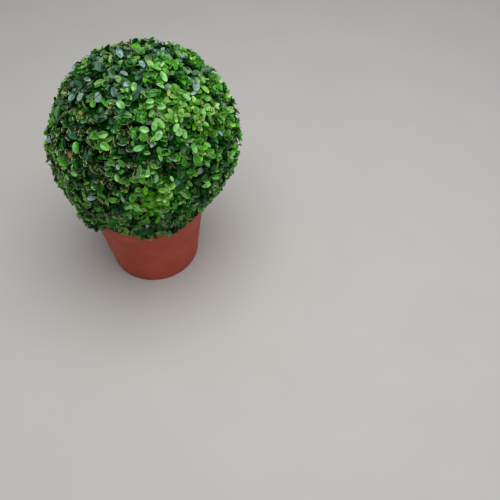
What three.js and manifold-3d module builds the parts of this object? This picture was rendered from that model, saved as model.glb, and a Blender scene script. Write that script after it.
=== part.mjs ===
// A box topiary ball: a small-leaved evergreen clipped to a ball, in its moulded terracotta pot.
// Millimetres, +Z up. The origin is the middle of the pot's flat underside, and -Y is the front.
import * as THREE from "three";
import { mergeVertices } from "three/addons/utils/BufferGeometryUtils.js";
import Module from "manifold-3d";

const wasm = await Module();
wasm.setup();

// Driving dimensions of the pot.
const POT_HEIGHT = 155;
const POT_RIM_RADIUS = 102;
const POT_FOOT_RADIUS = 78;
const POT_WALL = 3.5;
const RIM_BAND = 19;
const RIM_PROUD = 1.2;
const EDGE_ROUNDING = 1.5;
const DRAIN_HOLES = 6;
const DRAIN_RADIUS = 6;
const DRAIN_CIRCLE = 50;

// Driving dimensions of what stands in it.
const COMPOST_BELOW_RIM = 17;
const COMPOST_DOME = 4;
const STEM_HEIGHT = 56;
const STEM_RADIUS = 9;
const STEM_TIP_RADIUS = 6.5;
const ROOT_FLARE = 8;
const STEM_LEAN = 7;

// Driving dimensions of the clipped crown.
const CROWN_RADIUS = 155;
const CROWN_TOP = 163;
const CROWN_DEPTH = 178;
const CROWN_ABOVE_RIM = 107;
const CROWN_OFFSET = new THREE.Vector2(12, 2);
const UPPER_ROUNDNESS = 2;
const LOWER_ROUNDNESS = 1.85;
const CORE_SHARE = 0.89;
const SKIRT_SHARE = 0.97;
const SPRAYS = 96;
const LEAF_LENGTH = 34;
const LEAF_WIDTH = 21;
const LEAF_THICKNESS = 2.4;
const TWIG_RADIUS = 2.1;
const TIP_DEPTH = 8;
const LEAF_ROOM = 12.5;
const SEED = 21;

// Where the shears bit deeper than elsewhere, or left more: a direction out of the crown's centre, how
// narrow the place is, and the share of the reach that is gone or left over.
const PRESSES = [
  { towards: new THREE.Vector3(0.62, -0.5, -0.6), narrow: 7, share: -0.055 },
  { towards: new THREE.Vector3(0.9, -0.2, -0.38), narrow: 12, share: -0.02 },
  { towards: new THREE.Vector3(-0.9, 0, 0.43), narrow: 6, share: -0.025 },
  { towards: new THREE.Vector3(0.5, 0.48, 0.72), narrow: 6, share: 0.015 },
  { towards: new THREE.Vector3(-0.15, 0.45, 0.87), narrow: 12, share: -0.03 },
  { towards: new THREE.Vector3(-0.85, -0.51, -0.14), narrow: 10, share: -0.02 },
  { towards: new THREE.Vector3(-0.36, -0.61, -0.7), narrow: 16, share: -0.045 },
  { towards: new THREE.Vector3(-0.55, -0.56, -0.62), narrow: 60, share: 0.12 },
];

// Clearances between solids that touch on the real plant.
const TOUCH = 0.3;
const SOCKET_CLEAR = 1.2;
const POT_CLEAR = 1.5;
const RIM_HANG = 17;

const CROWN_CENTRE = new THREE.Vector3(CROWN_OFFSET.x, CROWN_OFFSET.y, POT_HEIGHT + CROWN_ABOVE_RIM);
const COMPOST_TOP = POT_HEIGHT - COMPOST_BELOW_RIM;
const STEM_FOOT = COMPOST_TOP + TOUCH;
const UP = new THREE.Vector3(0, 0, 1);
const GOLDEN_ANGLE = Math.PI * (3 - Math.sqrt(5));

// A small seeded generator, so that every build grows the same plant.
function seeded(seed) {
  let state = seed >>> 0;
  return () => {
    state = (state + 0x6d2b79f5) >>> 0;
    let mixed = Math.imul(state ^ (state >>> 15), state | 1);
    mixed = (mixed + Math.imul(mixed ^ (mixed >>> 7), mixed | 61)) ^ mixed;
    return ((mixed ^ (mixed >>> 14)) >>> 0) / 2 ** 32;
  };
}
const random = seeded(SEED);
const between = (low, high) => low + (high - low) * random();

// Turns a closed three.js geometry into a solid that can be cut and joined.
function solidOf(geometry) {
  const bare = geometry.clone();
  bare.deleteAttribute("normal");
  bare.deleteAttribute("uv");
  const merged = mergeVertices(bare, 1e-3);
  const corners = [];
  for (let i = 0; i < merged.index.count; i += 3) {
    const [a, b, c] = [0, 1, 2].map((k) => merged.index.getX(i + k));
    if (a !== b && b !== c && c !== a) corners.push(a, b, c);
  }
  const vertProperties = new Float32Array(merged.attributes.position.array);
  return new wasm.Manifold(new wasm.Mesh({ numProp: 3, vertProperties, triVerts: new Uint32Array(corners) }));
}

// Turns a solid back into a geometry for a mesh.
function geometryOf(solid) {
  const made = solid.getMesh();
  const geometry = new THREE.BufferGeometry();
  geometry.setAttribute("position", new THREE.BufferAttribute(made.vertProperties, 3));
  geometry.setIndex(new THREE.BufferAttribute(made.triVerts, 1));
  geometry.computeVertexNormals();
  return geometry;
}

// The largest body of a solid: loose scraps and sealed hollows are left behind.
function largestBody(solid) {
  return solid.decompose().sort((a, b) => b.volume() - a.volume())[0];
}

// Revolves [radius, height] points, from the axis round to the axis, about the Z axis.
function turned(profile, sides) {
  const points = profile.map(([radius, height]) => new THREE.Vector2(radius, height));
  return new THREE.LatheGeometry(points, sides).rotateX(Math.PI / 2);
}

// A tapering limb: a closed cylinder whose rings follow a curve. radiusAt gives the radius along it.
function limb(curve, radiusAt, sides, steps) {
  const geometry = new THREE.CylinderGeometry(1, 1, 1, sides, steps);
  const place = geometry.attributes.position;
  const frames = curve.computeFrenetFrames(steps, false);
  const point = new THREE.Vector3();
  for (let i = 0; i < place.count; i++) {
    const along = place.getY(i) + 0.5;
    const ring = Math.round(along * steps);
    const angle = Math.atan2(place.getZ(i), place.getX(i));
    const spread = Math.hypot(place.getX(i), place.getZ(i)) * radiusAt(along, angle);
    curve.getPointAt(along, point);
    point.addScaledVector(frames.normals[ring], -spread * Math.cos(angle));
    point.addScaledVector(frames.binormals[ring], spread * Math.sin(angle));
    place.setXYZ(i, point.x, point.y, point.z);
  }
  return geometry;
}

// The outer radius of the pot's tapering wall at a height, under its rim.
function potWallRadius(height) {
  const share = height / POT_HEIGHT;
  return POT_FOOT_RADIUS + (POT_RIM_RADIUS - RIM_PROUD - POT_FOOT_RADIUS) * share;
}

const potRimRadius = (height) => potWallRadius(height) + RIM_PROUD;
const potMouthRadius = (height) => potWallRadius(height) - POT_WALL;

function makePot() {
  const underRim = POT_HEIGHT - RIM_BAND;
  const profile = [
    [0, 0],
    [POT_FOOT_RADIUS - EDGE_ROUNDING, 0],
    [potWallRadius(EDGE_ROUNDING), EDGE_ROUNDING],
    [potWallRadius(underRim), underRim],
    [potRimRadius(underRim + EDGE_ROUNDING), underRim + EDGE_ROUNDING],
    [potRimRadius(POT_HEIGHT - EDGE_ROUNDING), POT_HEIGHT - EDGE_ROUNDING],
    [POT_RIM_RADIUS - EDGE_ROUNDING, POT_HEIGHT],
    [potMouthRadius(POT_HEIGHT) + EDGE_ROUNDING, POT_HEIGHT],
    [potMouthRadius(POT_HEIGHT), POT_HEIGHT - EDGE_ROUNDING],
    [potMouthRadius(POT_WALL), POT_WALL],
    [0, POT_WALL],
  ];
  let pot = solidOf(turned(profile, 64));
  for (let hole = 0; hole < DRAIN_HOLES; hole++) {
    const angle = (2 * Math.PI * hole) / DRAIN_HOLES;
    const drill = new THREE.CylinderGeometry(DRAIN_RADIUS, DRAIN_RADIUS, 3 * POT_WALL, 20);
    drill.rotateX(Math.PI / 2);
    drill.translate(DRAIN_CIRCLE * Math.cos(angle), DRAIN_CIRCLE * Math.sin(angle), POT_WALL / 2);
    pot = pot.subtract(solidOf(drill));
  }
  return geometryOf(pot);
}

function makeCompost() {
  const inside = (height) => potMouthRadius(height) - TOUCH;
  const base = POT_WALL + TOUCH;
  const edge = COMPOST_TOP - COMPOST_DOME;
  const profile = [
    [0, base],
    [inside(base), base],
    [inside(edge), edge],
    [inside(edge) * 0.8, edge + 0.55 * COMPOST_DOME],
    [inside(edge) * 0.5, edge + 0.9 * COMPOST_DOME],
    [STEM_RADIUS + 2 * ROOT_FLARE, COMPOST_TOP],
    [0, COMPOST_TOP],
  ];
  return turned(profile, 48);
}

// The short stem leans from the middle of the pot towards the middle of the crown.
const leanTowards = new THREE.Vector3(CROWN_OFFSET.x, CROWN_OFFSET.y, 0).normalize();
const stemCurve = new THREE.QuadraticBezierCurve3(
  new THREE.Vector3(0, 0, STEM_FOOT),
  new THREE.Vector3(0, 0, STEM_FOOT + 0.5 * STEM_HEIGHT),
  new THREE.Vector3(0, 0, STEM_FOOT + STEM_HEIGHT).addScaledVector(leanTowards, STEM_LEAN),
);

// The stem tapers, and its foot flares out in three root buttresses.
function stemRadius(along, angle, spare = 0) {
  const taper = STEM_RADIUS + (STEM_TIP_RADIUS - STEM_RADIUS) * along;
  const flare = ROOT_FLARE * Math.exp(-9 * along) * (0.75 + 0.25 * Math.cos(3 * angle));
  return taper + flare + spare;
}

const makeStem = () => limb(stemCurve, stemRadius, 18, 10);

// How far the clipped surface lies from the crown's centre in a direction: round above, and
// drawn in a little straighter below, towards the pot. The shears leave presses and low waves in it.
function crownReach(direction) {
  const roundness = direction.z > 0 ? UPPER_ROUNDNESS : LOWER_ROUNDNESS;
  const across = Math.hypot(direction.x, direction.y) / CROWN_RADIUS;
  const upright = direction.z > 0 ? direction.z / CROWN_TOP : -direction.z / CROWN_DEPTH;
  const smooth = (across ** roundness + upright ** roundness) ** (-1 / roundness);
  const { x, y, z } = direction;
  const waves = Math.sin(5 * x + 1.3) * Math.sin(4 * y + 0.4) * Math.sin(4 * z + 2.1);
  let pressed = 0;
  for (const { towards, narrow, share } of PRESSES) {
    pressed += share * Math.exp(narrow * (direction.dot(towards.clone().normalize()) - 1));
  }
  return smooth * (1 + pressed - 0.01 * (waves + 1));
}

// True where a leaf or twig may be: inside the clipped surface, above the compost and clear of the pot.
function insideCrown(point) {
  const fromCentre = point.clone().sub(CROWN_CENTRE);
  const reach = crownReach(fromCentre.clone().normalize());
  const fromAxis = Math.hypot(point.x, point.y);
  let lowest = POT_HEIGHT + POT_CLEAR;
  if (fromAxis < potMouthRadius(POT_HEIGHT) - 2 * POT_CLEAR) lowest = COMPOST_TOP + POT_CLEAR;
  if (fromAxis > POT_RIM_RADIUS + POT_CLEAR) lowest = POT_HEIGHT - RIM_HANG;
  return fromCentre.length() <= reach && point.z > lowest;
}

// The room the pot's wall and rim take, with a little spare, for cutting out of the crown's core.
function potRoom() {
  const [foot, top] = [COMPOST_TOP - RIM_BAND, POT_HEIGHT + POT_CLEAR];
  const outside = POT_RIM_RADIUS + POT_CLEAR;
  const inner = [potMouthRadius(foot) - POT_CLEAR, foot];
  const mouth = [potMouthRadius(top) - POT_CLEAR, top];
  return turned([inner, [outside, foot], [outside, top], mouth, inner], 64);
}

// The core's share of the reach: nearly all of it low down, where the leaves hang over the rim.
function coreShare(direction) {
  return CORE_SHARE + (SKIRT_SHARE - CORE_SHARE) * THREE.MathUtils.smoothstep(-direction.z, 0.45, 0.7);
}

// The dense middle of the crown, a little lumpy, that the twigs stand out of.
function makeCore() {
  const core = new THREE.IcosahedronGeometry(1, 4);
  const place = core.attributes.position;
  const direction = new THREE.Vector3();
  for (let i = 0; i < place.count; i++) {
    direction.fromBufferAttribute(place, i).normalize();
    const lump = Math.sin(11 * direction.x) * Math.sin(9 * direction.y + 1) * Math.sin(10 * direction.z + 2);
    const reach = crownReach(direction) * coreShare(direction);
    direction.multiplyScalar(reach + 3 * lump).add(CROWN_CENTRE);
    place.setXYZ(i, direction.x, direction.y, Math.max(direction.z, COMPOST_TOP + 2 * POT_CLEAR));
  }
  return core;
}

// A frame of three directions at right angles: forward, sideways and face, with face near the one asked for.
function frameAlong(forward, face) {
  const sideways = new THREE.Vector3().crossVectors(face, forward).normalize();
  return [forward, sideways, new THREE.Vector3().crossVectors(forward, sideways)];
}

// A box leaf of eight faces: a long octahedron, widest past its middle and cupped along the midrib.
function leaf(root, forward, face, length) {
  const [ahead, sideways, normal] = frameAlong(forward, face);
  const geometry = new THREE.OctahedronGeometry(1);
  const place = geometry.attributes.position;
  const width = (LEAF_WIDTH / LEAF_LENGTH) * length;
  for (let i = 0; i < place.count; i++) {
    const [x, y, z] = [place.getX(i), place.getY(i), place.getZ(i)];
    const along = x === 0 ? 0.58 * length : ((x + 1) / 2) * length;
    const cup = Math.abs(y) * 0.13 * width;
    const point = root.clone().addScaledVector(ahead, along);
    point.addScaledVector(sideways, (y * width) / 2);
    point.addScaledVector(normal, (z * LEAF_THICKNESS) / 2 + cup);
    place.setXYZ(i, point.x, point.y, point.z);
  }
  return geometry;
}

// True where every edge of a geometry stays in the crown's own space.
function fits(geometry) {
  const place = (geometry.index ? geometry.toNonIndexed() : geometry).attributes.position;
  const [start, end] = [new THREE.Vector3(), new THREE.Vector3()];
  for (let i = 0; i < place.count; i++) {
    start.fromBufferAttribute(place, i);
    end.fromBufferAttribute(place, i % 3 === 2 ? i - 2 : i + 1);
    const along = [0, 0.2, 0.4, 0.6, 0.8].map((share) => start.clone().lerp(end, share));
    if (!along.every(insideCrown)) return false;
  }
  return true;
}

// A direction at right angles to another, at an angle round it.
function across(forward, round) {
  const reference = Math.abs(forward.z) > 0.9 ? new THREE.Vector3(1, 0, 0) : UP;
  const [, sideways, normal] = frameAlong(forward, reference);
  return sideways.multiplyScalar(Math.cos(round)).addScaledVector(normal, Math.sin(round));
}

// A direction turned by a slant from one direction towards another at right angles to it.
function slanted(forward, side, slant) {
  return forward.clone().multiplyScalar(Math.cos(slant)).addScaledVector(side, Math.sin(slant));
}

// One straight or slightly bowed twig of three sides.
function twig(from, to, radius) {
  const middle = from.clone().lerp(to, 0.5).addScaledVector(UP, 0.04 * from.distanceTo(to));
  const curve = new THREE.QuadraticBezierCurve3(from, middle, to);
  return limb(curve, (along) => radius * (1 - 0.4 * along), 3, 1);
}

// An opposite pair of leaves at a point of a twig. Each opens out until it stays inside the surface
// and keeps its own room, and is left out where it can't.
const blades = [];
function leafPair(point, forward, side, face) {
  const found = [];
  for (const turn of [1, -1]) {
    const length = LEAF_LENGTH * between(0.9, 1.05);
    for (const slant of [0.75, 0.95, 1.15, 1.35, 1.5]) {
      const ahead = slanted(forward, side, turn * slant);
      const blade = point.clone().addScaledVector(ahead, 0.6 * length);
      const grown = leaf(point, ahead, face, length);
      if (fits(grown) && blades.every((other) => other.distanceTo(blade) > LEAF_ROOM)) {
        found.push(grown);
        blades.push(blade);
        break;
      }
    }
  }
  return found;
}

// A spray: a twig out of the core with a side shoot, leaves in pairs, each pair crossing the last.
function spray(direction) {
  const reach = crownReach(direction);
  const root = direction.clone().multiplyScalar(reach * coreShare(direction) - 8).add(CROWN_CENTRE);
  const forward = slanted(direction, across(direction, between(0, 2 * Math.PI)), between(0, 0.15));
  const tip = root.clone().addScaledVector(forward, reach * (1 - coreShare(direction)) + 8 - TIP_DEPTH);
  const round = between(0, Math.PI);
  const found = [twig(root, tip, TWIG_RADIUS)];
  found.push(...leafPair(tip.clone().addScaledVector(forward, -2), forward, across(forward, round), forward));
  const lower = across(forward, round + Math.PI / 2);
  found.push(...leafPair(tip.clone().addScaledVector(forward, -5), forward, lower, forward));
  const branch = slanted(forward, across(forward, round + Math.PI / 4), 1.2);
  const fork = root.clone().lerp(tip, 0.6);
  const end = fork.clone().addScaledVector(branch, LEAF_LENGTH);
  const shoot = twig(fork, end, 0.85 * TWIG_RADIUS);
  if (!fits(shoot)) return found;
  const beside = new THREE.Vector3().crossVectors(branch, direction).normalize();
  return [...found, shoot, ...leafPair(end.addScaledVector(branch, -2), branch, beside, direction)];
}

// The crown: core, twigs and leaves fused into one body, with a socket over the stem.
function makeCrown() {
  const pieces = [solidOf(makeCore()).subtract(solidOf(potRoom()))];
  for (let k = 0; k < SPRAYS; k++) {
    const height = 1 - (2 * (k + 0.5)) / SPRAYS;
    const direction = new THREE.Vector3(Math.sqrt(1 - height * height), 0, height);
    direction.applyAxisAngle(UP, k * GOLDEN_ANGLE);
    pieces.push(...spray(direction).filter((piece) => fits(piece)).map(solidOf));
  }
  const roof = stemCurve.v2.clone().addScaledVector(stemCurve.getTangent(1), TOUCH);
  const socketCurve = new THREE.QuadraticBezierCurve3(stemCurve.v0, stemCurve.v1, roof);
  const socket = limb(socketCurve, (along) => stemRadius(along, 0, SOCKET_CLEAR), 24, 10);
  const joined = wasm.Manifold.union(pieces).subtract(solidOf(socket));
  return geometryOf(largestBody(solidOf(geometryOf(largestBody(joined).simplify(0.02)))));
}

// Each sub-part's name, shape and finish.
function part(name, geometry, color, roughness) {
  const material = new THREE.MeshStandardMaterial({ color, roughness, metalness: 0 });
  const mesh = new THREE.Mesh(geometry, material);
  mesh.name = name;
  return mesh;
}

const plant = new THREE.Group();
plant.name = "box_topiary_ball";
plant.add(
  part("pot", makePot(), 0x9a4b36, 0.55),
  part("compost", makeCompost(), 0x2e2119, 0.95),
  part("stem", makeStem(), 0x8c7b62, 0.85),
  part("crown", makeCrown(), 0x3c7a26, 0.45),
);

export default plant;
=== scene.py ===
# %% [markdown]
# # A box topiary ball in its pot
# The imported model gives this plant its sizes: a pot, the compost in it, a short stem and one clipped
# crown. Here each of them gets its looks. Everything is in metres, and the origin is the middle of the
# pot's flat underside, with +Z up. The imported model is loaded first, so that each new piece can be
# measured against the solid that it stands for.

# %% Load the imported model
import math

import bpy
import numpy as np
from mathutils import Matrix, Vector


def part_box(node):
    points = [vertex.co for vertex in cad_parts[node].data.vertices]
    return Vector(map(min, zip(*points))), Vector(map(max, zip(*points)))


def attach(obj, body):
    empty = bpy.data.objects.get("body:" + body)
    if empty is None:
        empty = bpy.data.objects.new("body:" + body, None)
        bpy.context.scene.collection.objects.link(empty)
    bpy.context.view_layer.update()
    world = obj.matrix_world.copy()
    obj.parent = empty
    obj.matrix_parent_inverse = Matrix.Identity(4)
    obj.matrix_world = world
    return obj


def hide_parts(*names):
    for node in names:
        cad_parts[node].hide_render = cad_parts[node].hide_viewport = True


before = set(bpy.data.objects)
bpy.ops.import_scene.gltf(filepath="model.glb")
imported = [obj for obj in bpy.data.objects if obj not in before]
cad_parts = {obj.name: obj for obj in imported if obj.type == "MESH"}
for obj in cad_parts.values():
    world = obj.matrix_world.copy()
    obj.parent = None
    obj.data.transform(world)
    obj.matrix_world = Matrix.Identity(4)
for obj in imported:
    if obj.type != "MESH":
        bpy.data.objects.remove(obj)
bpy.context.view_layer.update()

MM = 0.001
for name in sorted(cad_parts):
    low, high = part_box(name)
    print(name, [round((high[i] - low[i]) / MM, 1) for i in range(3)], "mm")

# %% [markdown]
# ## The camera
# The plant was seen from above, from about a metre away and a little to the right, looking 51 degrees
# down. The camera's place was worked out from the outlines of the rim and the ball, so that the plant
# stands as large and as high in the frame as it should. A lens of 44 mm on a 36 mm sensor is usual.

# %% Place the camera
CAMERA_PLACE = np.array([0.179, -0.747, 0.914])
CAMERA_DOWN = math.radians(51)
CAMERA_LENS = 44.35
SENSOR_WIDTH = 36
NEAREST_SEEN = 10 * MM

bpy.ops.object.select_all(action="DESELECT")
bpy.ops.object.camera_add(location=CAMERA_PLACE, rotation=(math.pi / 2 - CAMERA_DOWN, 0, 0))
camera = bpy.context.object
camera.data.lens = CAMERA_LENS
camera.data.sensor_width = SENSOR_WIDTH
camera.data.clip_start = NEAREST_SEEN
bpy.context.scene.camera = camera
print("camera at", CAMERA_PLACE, "looking", round(math.degrees(CAMERA_DOWN)), "degrees down")

# %% [markdown]
# ## Helpers for colours, nodes and pieces
# Colours are given as sRGB hex values, but shaders want linear ones, so a single function turns one into
# the other. Another adds a shader node with its settings and its links in a single call, and a third
# starts a new finish. Three more put the patterns together that most finishes here share: a value that
# wanders in lumps of a real size, two tones mottled by it, and a fine relief. Noise is the simplest way
# to get the unevenness of things that grew or weathered, and it needs no image. The last function gives a
# finished piece its material, hangs it under the root body and hides the imported part that it replaces.

# %% Colours and nodes
SHARE, FIRST_TONE, SECOND_TONE, MIXED = 0, 6, 7, 2  # the sockets of a Mix node that mixes colours


def linear(code):
    """The linear colour of an sRGB hex value such as #3C7A26."""
    channels = [int(code[i:i + 2], 16) / 255 for i in (1, 3, 5)]
    return (*[c / 12.92 if c <= 0.04045 else ((c + 0.055) / 1.055) ** 2.4 for c in channels], 1)


def add_node(tree, kind, inputs=None, **settings):
    """Adds a node to a tree. An input is a value, or another node's socket to link from."""
    made = tree.nodes.new(kind)
    for name, value in settings.items():
        setattr(made, name, value)
    for name, value in (inputs or {}).items():
        if isinstance(value, bpy.types.NodeSocket):
            tree.links.new(value, made.inputs[name])
        else:
            made.inputs[name].default_value = value
    return made


def new_finish(name, **sockets):
    """A new material with its Principled shader's sockets set. Returns it, its tree and its shader."""
    material = bpy.data.materials.new(name)
    material.use_nodes = True
    shader = material.node_tree.nodes["Principled BSDF"]
    for socket, value in sockets.items():
        shader.inputs[socket.replace("_", " ")].default_value = value
    return material, material.node_tree, shader


def wandering(tree, size, ends=(0.35, 0.65), between=(0, 1), detail=2.0, roughness=0.5):
    """A value that wanders between two others, in lumps about size metres across."""
    place = add_node(tree, "ShaderNodeTexCoord").outputs["Object"]
    inputs = {"Vector": place, "Scale": 1 / size, "Detail": detail, "Roughness": roughness}
    noise = add_node(tree, "ShaderNodeTexNoise", inputs).outputs["Fac"]
    inputs = {"Value": noise, "From Min": ends[0], "From Max": ends[1],
              "To Min": between[0], "To Max": between[1]}
    return add_node(tree, "ShaderNodeMapRange", inputs).outputs["Result"]


def mottle(tree, shader, dark, light, size, **pattern):
    """Colours a finish with two tones, in lumps about size metres across."""
    share = wandering(tree, size, **pattern)
    tones = {SHARE: share, FIRST_TONE: linear(dark), SECOND_TONE: linear(light)}
    mixed = add_node(tree, "ShaderNodeMix", tones, data_type="RGBA").outputs[MIXED]
    tree.links.new(mixed, shader.inputs["Base Color"])
    return mixed


def roughen(tree, shader, size, height, strength, **pattern):
    """Gives a finish a relief of a height, in lumps about size metres across."""
    relief = wandering(tree, size, (0, 1), **pattern)
    bump = add_node(tree, "ShaderNodeBump", {"Height": relief, "Strength": strength, "Distance": height})
    tree.links.new(bump.outputs["Normal"], shader.inputs["Normal"])


def enter(piece, node, material):
    """Gives a finished piece its material, hangs it under the root body and hides the imported part that
    it stands for.
    """
    piece.data.materials.clear()
    piece.data.materials.append(material)
    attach(piece, "root")
    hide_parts(node)
    print(piece.name, len(piece.data.polygons), "faces")


# %% [markdown]
# ## The pot
# The real pot is injection-moulded polypropylene coloured like terracotta: a tapered wall, a proud
# rim band with rounded edges, and a flat foot with drainage holes. It could be stacked from cylinders,
# but a moulding has no joins, so its section is drawn once and spun round the axis. The section starts
# from one vertex of a plane that is extruded from corner to corner.

# %% Draw a section and spin it
def curved(start, pull, end, t):
    """The points at shares t of a curve from start to end that is drawn towards pull."""
    return (1 - t) ** 2 * start + 2 * t * (1 - t) * pull + t ** 2 * end


def rounded(corners, radius, steps=4):
    """A section's corners, each replaced by a small curve where there is room for it."""
    points = [corners[0]]
    for before, here, after in zip(corners, corners[1:], corners[2:]):
        before, here, after = (np.array(p, float) for p in (before, here, after))
        back, on = before - here, after - here
        cut = min(radius, np.linalg.norm(back) / 2, np.linalg.norm(on) / 2)
        start = here + back / np.linalg.norm(back) * cut
        end = here + on / np.linalg.norm(on) * cut
        points.extend(tuple(curved(start, here, end, t)) for t in np.linspace(0, 1, steps))
    return points + [corners[-1]]


WELD = 0.01 * MM  # points closer than this are made one


def spun(name, section, steps):
    """A closed solid: a section of (radius, height) points from the axis to the axis, spun round Z."""
    bpy.ops.object.select_all(action="DESELECT")
    bpy.ops.mesh.primitive_plane_add(size=MM)
    piece = bpy.context.object
    piece.name = piece.data.name = name
    bpy.ops.object.mode_set(mode="EDIT")
    bpy.ops.mesh.merge(type="CENTER")
    bpy.ops.transform.translate(value=(section[0][0], 0, section[0][1]))
    for here, there in zip(section, section[1:]):
        step = (there[0] - here[0], 0, there[1] - here[1])
        bpy.ops.mesh.extrude_region_move(TRANSFORM_OT_translate={"value": step})
    bpy.ops.mesh.select_all(action="SELECT")
    bpy.ops.mesh.spin(steps=steps, angle=2 * math.pi, center=(0, 0, 0), axis=(0, 0, 1))
    bpy.ops.mesh.select_all(action="SELECT")
    bpy.ops.mesh.remove_doubles(threshold=WELD)
    bpy.ops.mesh.normals_make_consistent(inside=False)
    bpy.ops.object.mode_set(mode="OBJECT")
    return piece


POT_HEIGHT = 155 * MM
POT_RIM_RADIUS = 102 * MM
POT_FOOT_RADIUS = 78 * MM
POT_WALL = 3.5 * MM
RIM_BAND = 19 * MM
RIM_PROUD = 1.2 * MM
RIM_STEP = 2 * MM
FOOT_RING = 6 * MM
FOOT_PROUD = 0.6 * MM
EDGE_ROUNDING = 1.8 * MM
POT_SIDES = 128


def wall_radius(height):
    """The outer radius of the tapering wall at a height, under its rim."""
    return POT_FOOT_RADIUS + (POT_RIM_RADIUS - RIM_PROUD - POT_FOOT_RADIUS) * height / POT_HEIGHT


def mouth_radius(height):
    """The inner radius of the tapering wall at a height."""
    return wall_radius(height) - POT_WALL


under_rim = POT_HEIGHT - RIM_BAND
section = [
    (0, 0),
    (POT_FOOT_RADIUS, 0),
    (wall_radius(FOOT_RING) + FOOT_PROUD, FOOT_RING),
    (wall_radius(FOOT_RING + 1 * MM), FOOT_RING + 1.4 * MM),
    (wall_radius(under_rim), under_rim),
    (wall_radius(under_rim + RIM_STEP) + RIM_PROUD, under_rim + RIM_STEP),
    (POT_RIM_RADIUS, POT_HEIGHT),
    (mouth_radius(POT_HEIGHT), POT_HEIGHT),
    (mouth_radius(POT_WALL), POT_WALL),
    (0, POT_WALL),
]
pot = spun("pot_moulding", rounded(section, EDGE_ROUNDING), POT_SIDES)
print("pot", pot.dimensions / MM)

# %% [markdown]
# The drainage holes go through the flat base. A punch is modelled once and copied to its places round
# a circle, and a Boolean modifier takes all the copies out of the pot in one go.

# %% Punch the drainage holes
DRAIN_HOLES = 6
DRAIN_RADIUS = 6 * MM
DRAIN_CIRCLE = 50 * MM
DRAIN_SIDES = 32
SHARPEST_SMOOTH = math.radians(35)  # edges that turn more than this stay crisp

bpy.ops.object.select_all(action="DESELECT")
turns = [2 * math.pi * hole / DRAIN_HOLES for hole in range(DRAIN_HOLES)]
places = [(DRAIN_CIRCLE * math.cos(turn), DRAIN_CIRCLE * math.sin(turn), POT_WALL / 2) for turn in turns]
bpy.ops.mesh.primitive_cylinder_add(vertices=DRAIN_SIDES, radius=DRAIN_RADIUS, depth=3 * POT_WALL,
                                    location=places[0])
punches = [bpy.context.object]
for here, there in zip(places, places[1:]):
    step = [b - a for a, b in zip(here, there)]
    bpy.ops.object.duplicate_move(TRANSFORM_OT_translate={"value": step})
    punches.append(bpy.context.object)
for copy in punches:
    copy.select_set(True)
bpy.context.view_layer.objects.active = punches[0]
bpy.ops.object.join()
punch = bpy.context.object
cut = pot.modifiers.new("drainage", "BOOLEAN")
cut.object = punch
cut.operation = "DIFFERENCE"
cut.solver = "EXACT"
bpy.context.view_layer.objects.active = pot
bpy.ops.object.modifier_apply(modifier=cut.name)
bpy.data.objects.remove(punch)
bpy.ops.object.select_all(action="DESELECT")
pot.select_set(True)
bpy.ops.object.shade_smooth_by_angle(angle=SHARPEST_SMOOTH)
print("pot with", DRAIN_HOLES, "holes:", len(pot.data.polygons), "faces")

# %% [markdown]
# Moulded polypropylene has an even colour with a soft, satin shine, and a very fine texture from the
# mould. After a season outdoors it is a little chalky in patches, and splashed soil dulls its foot.

# %% Terracotta-coloured polypropylene, moulded
CHALK_SIZE = 35 * MM
SPLASHED_UP_TO = 26 * MM
SOILED_UP_TO = 2 * MM
SPLASH_SIZE = 9 * MM
SATIN_SIZE = 18 * MM
GRAIN_HEIGHT = 0.3 * MM
GRAIN_SIZE = 1.2 * MM  # really about 0.3 mm, and drawn coarser so that it shows

terracotta, tree, shader = new_finish("polypropylene_terracotta", IOR=1.49, Roughness=0.5)
chalky = mottle(tree, shader, "#AF3C21", "#BE4E31", CHALK_SIZE, ends=(0.4, 0.72), detail=3)
place = add_node(tree, "ShaderNodeTexCoord").outputs["Object"]
height = add_node(tree, "ShaderNodeSeparateXYZ", {0: place}).outputs["Z"]
falling = {"Value": height, "From Min": SPLASHED_UP_TO, "From Max": SOILED_UP_TO}
low_down = add_node(tree, "ShaderNodeMapRange", falling).outputs["Result"]
splashes = wandering(tree, SPLASH_SIZE, (0.45, 0.7), detail=5, roughness=0.65)
soil = add_node(tree, "ShaderNodeMath", {0: low_down, 1: splashes}, operation="MULTIPLY").outputs[0]
tones = {SHARE: soil, FIRST_TONE: chalky, SECOND_TONE: linear("#6E5443")}
soiled = add_node(tree, "ShaderNodeMix", tones, data_type="RGBA").outputs[MIXED]
tree.links.new(soiled, shader.inputs["Base Color"])
satin = wandering(tree, SATIN_SIZE, (0.3, 0.7), (0.5, 0.68), detail=4)
tree.links.new(satin, shader.inputs["Roughness"])
roughen(tree, shader, GRAIN_SIZE, GRAIN_HEIGHT, 0.12)
enter(pot, "pot", terracotta)

# %% [markdown]
# ## The compost
# The pot is filled to a finger's width below the rim with shredded bark and peat. The fill is spun
# like the pot, with many rings on top, and a Displace modifier then makes its top lumpy. Only the
# top moves, because a vertex group limits the modifier to it.

# %% Fill the pot
def dented(piece, name, size, depth, **settings):
    """Presses a piece in by up to depth, in lumps about size metres across, with a Displace modifier."""
    lumps = bpy.data.textures.new(name, "CLOUDS")
    lumps.noise_scale = size
    dents = piece.modifiers.new(name, "DISPLACE")
    dents.texture = lumps
    dents.mid_level = 1.0
    dents.strength = depth
    for setting, value in settings.items():
        setattr(dents, setting, value)
    bpy.context.view_layer.objects.active = piece
    bpy.ops.object.modifier_apply(modifier=dents.name)


COMPOST_BELOW_RIM = 17 * MM
COMPOST_DOME = 4 * MM  # how much lower the fill lies at the wall
DOME_FILL = 0.8  # share of that by which it rises again towards the middle
DOME_ROUNDNESS = 0.6
LEVEL_EDGE = 2 * MM
TOUCH = 0.3 * MM
CLOD_SIZE = 7 * MM
CLOD_DEPTH = 4 * MM
COMPOST_SIDES = 96
COMPOST_RINGS = 26

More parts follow.
